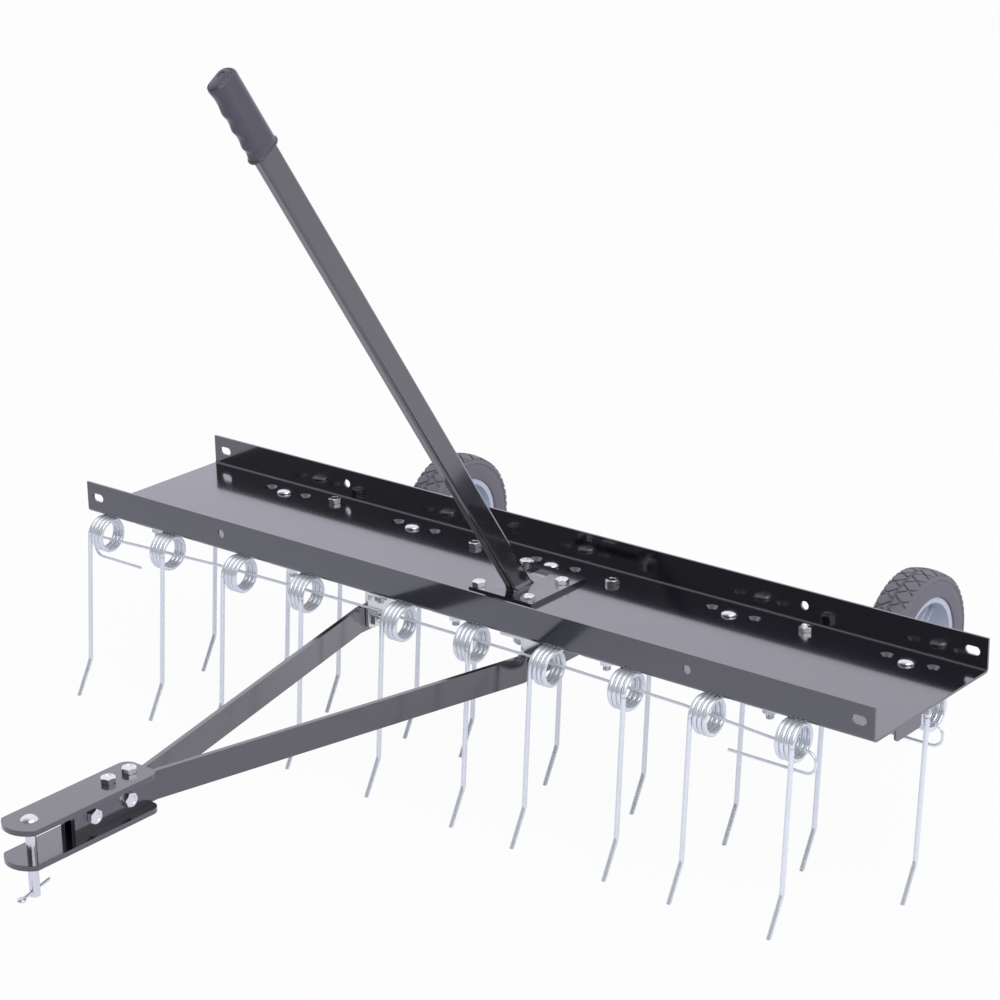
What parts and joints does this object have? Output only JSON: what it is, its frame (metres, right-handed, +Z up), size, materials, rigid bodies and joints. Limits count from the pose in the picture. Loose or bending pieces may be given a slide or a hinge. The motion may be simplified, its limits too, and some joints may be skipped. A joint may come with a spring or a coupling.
{
  "type": "tow-behind spring-tine dethatcher",
  "caption": "Tow-behind lawn rake: folded steel tray carrying two rows of sprung wire tines, with a hinged drawbar and clevis, a leaning hand lever and two small transport wheels.",
  "frame": {"origin": "on the ground, under the centre of the whole object's box, in the rest pose in which it stands on its tine tips", "axes": "+Z up, -Y forward towards the tractor, +X to the right of the picture's view from the front"},
  "size_m": [1.016, 1.0355, 0.7972],
  "materials": {
    "coat": "gloss",
    "zinc": "bright zinc plate",
    "spring_zinc": "bright zinc-plated spring wire",
    "grip_vinyl": "satin",
    "rim_plastic": "satin",
    "tyre_rubber": "matt"
  },
  "bodies": {
    "root": {"tray": "coat", "handle": "coat", "grip": "grip_vinyl", "handle_bolts": "zinc", "pivot_bracket_left": "zinc", "pivot_bracket_right": "zinc", "bracket_bolts": "zinc", "bracket_nuts": "zinc", "pivot_bolts": "zinc", "pivot_nuts": "zinc", "rear_rod": "spring_zinc", "tine_bolts_front": "zinc", "tine_bolts_rear": "zinc", "tine_clamps_front": "zinc", "tine_clamps_rear": "zinc", "tine_nuts_front": "zinc", "tine_nuts_rear": "zinc", "fork_left": "coat", "fork_right": "coat", "fork_bolts": "zinc", "fork_nuts": "zinc", "axle_left": "zinc", "axle_right": "zinc", "axle_nuts": "zinc"},
    "drawbar": {"arm_left": "coat", "arm_right": "coat", "hitch_plate_upper": "coat", "hitch_plate_lower": "coat", "hitch_bolts": "zinc", "hitch_nuts": "zinc", "front_rod": "spring_zinc"},
    "hitch_pin": {"hitch_pin": "zinc"},
    "split_pin": {"split_pin": "zinc"},
    "wheel_left": {"rim_left": "rim_plastic", "tyre_left": "tyre_rubber"},
    "wheel_right": {"rim_right": "rim_plastic", "tyre_right": "tyre_rubber"},
    "front_tine_1": {"front_tine_1": "spring_zinc"},
    "front_tine_2": {"front_tine_2": "spring_zinc"},
    "front_tine_3": {"front_tine_3": "spring_zinc"},
    "front_tine_4": {"front_tine_4": "spring_zinc"},
    "front_tine_5": {"front_tine_5": "spring_zinc"},
    "rear_tine_1": {"rear_tine_1": "spring_zinc"},
    "rear_tine_2": {"rear_tine_2": "spring_zinc"},
    "rear_tine_3": {"rear_tine_3": "spring_zinc"},
    "rear_tine_4": {"rear_tine_4": "spring_zinc"},
    "rear_tine_5": {"rear_tine_5": "spring_zinc"}
  },
  "joints": [
    {"name": "drawbar_pivot", "type": "hinge", "parent": "root", "child": "drawbar", "pos_m": [0, 0.06775, 0.169], "axis": [-1, 0, 0], "range_deg": [-10, 10]},
    {"name": "hitch_pin_lift", "type": "slide", "parent": "drawbar", "child": "hitch_pin", "axis": [0, 0, 1], "range_m": [0, 0.027]},
    {"name": "split_pin_draw", "type": "slide", "parent": "hitch_pin", "child": "split_pin", "axis": [0.2588, -0.9659, 0], "range_m": [0, 0.045]},
    {"name": "wheel_left_spin", "type": "hinge", "parent": "root", "child": "wheel_left", "pos_m": [-0.3039, 0.44075, 0.1235], "axis": [1, 0, 0], "continuous": true},
    {"name": "wheel_right_spin", "type": "hinge", "parent": "root", "child": "wheel_right", "pos_m": [0.3179, 0.44075, 0.1235], "axis": [1, 0, 0], "continuous": true},
    {"name": "front_tine_1_flex", "type": "hinge", "parent": "root", "child": "front_tine_1", "pos_m": [-0.4329, 0.05275, 0.1797], "axis": [1, 0, 0], "range_deg": [-8, 25], "stiffness_Nm_per_rad": 32, "deforming": ["front_tine_1"]},
    {"name": "front_tine_2_flex", "type": "hinge", "parent": "root", "child": "front_tine_2", "pos_m": [-0.22919, 0.05275, 0.1797], "axis": [1, 0, 0], "range_deg": [-8, 25], "stiffness_Nm_per_rad": 32, "deforming": ["front_tine_2"]},
    {"name": "front_tine_3_flex", "type": "hinge", "parent": "root", "child": "front_tine_3", "pos_m": [-0.005, 0.05275, 0.1797], "axis": [1, 0, 0], "range_deg": [-8, 25], "stiffness_Nm_per_rad": 32, "deforming": ["front_tine_3"]},
    {"name": "front_tine_4_flex", "type": "hinge", "parent": "root", "child": "front_tine_4", "pos_m": [0.186, 0.05275, 0.1797], "axis": [1, 0, 0], "range_deg": [-8, 25], "stiffness_Nm_per_rad": 32, "deforming": ["front_tine_4"]},
    {"name": "front_tine_5_flex", "type": "hinge", "parent": "root", "child": "front_tine_5", "pos_m": [0.37584, 0.05275, 0.1797], "axis": [1, 0, 0], "range_deg": [-8, 25], "stiffness_Nm_per_rad": 32, "deforming": ["front_tine_5"]},
    {"name": "rear_tine_1_flex", "type": "hinge", "parent": "root", "child": "rear_tine_1", "pos_m": [-0.37084, 0.18575, 0.1797], "axis": [1, 0, 0], "range_deg": [-8, 25], "stiffness_Nm_per_rad": 32, "deforming": ["rear_tine_1"]},
    {"name": "rear_tine_2_flex", "type": "hinge", "parent": "root", "child": "rear_tine_2", "pos_m": [-0.181, 0.18575, 0.1797], "axis": [1, 0, 0], "range_deg": [-8, 25], "stiffness_Nm_per_rad": 32, "deforming": ["rear_tine_2"]},
    {"name": "rear_tine_3_flex", "type": "hinge", "parent": "root", "child": "rear_tine_3", "pos_m": [0.01, 0.18575, 0.1797], "axis": [1, 0, 0], "range_deg": [-8, 25], "stiffness_Nm_per_rad": 32, "deforming": ["rear_tine_3"]},
    {"name": "rear_tine_4_flex", "type": "hinge", "parent": "root", "child": "rear_tine_4", "pos_m": [0.23419, 0.18575, 0.1797], "axis": [1, 0, 0], "range_deg": [-8, 25], "stiffness_Nm_per_rad": 32, "deforming": ["rear_tine_4"]},
    {"name": "rear_tine_5_flex", "type": "hinge", "parent": "root", "child": "rear_tine_5", "pos_m": [0.4379, 0.18575, 0.1797], "axis": [1, 0, 0], "range_deg": [-8, 25], "stiffness_Nm_per_rad": 32, "deforming": ["rear_tine_5"]}
  ]
}
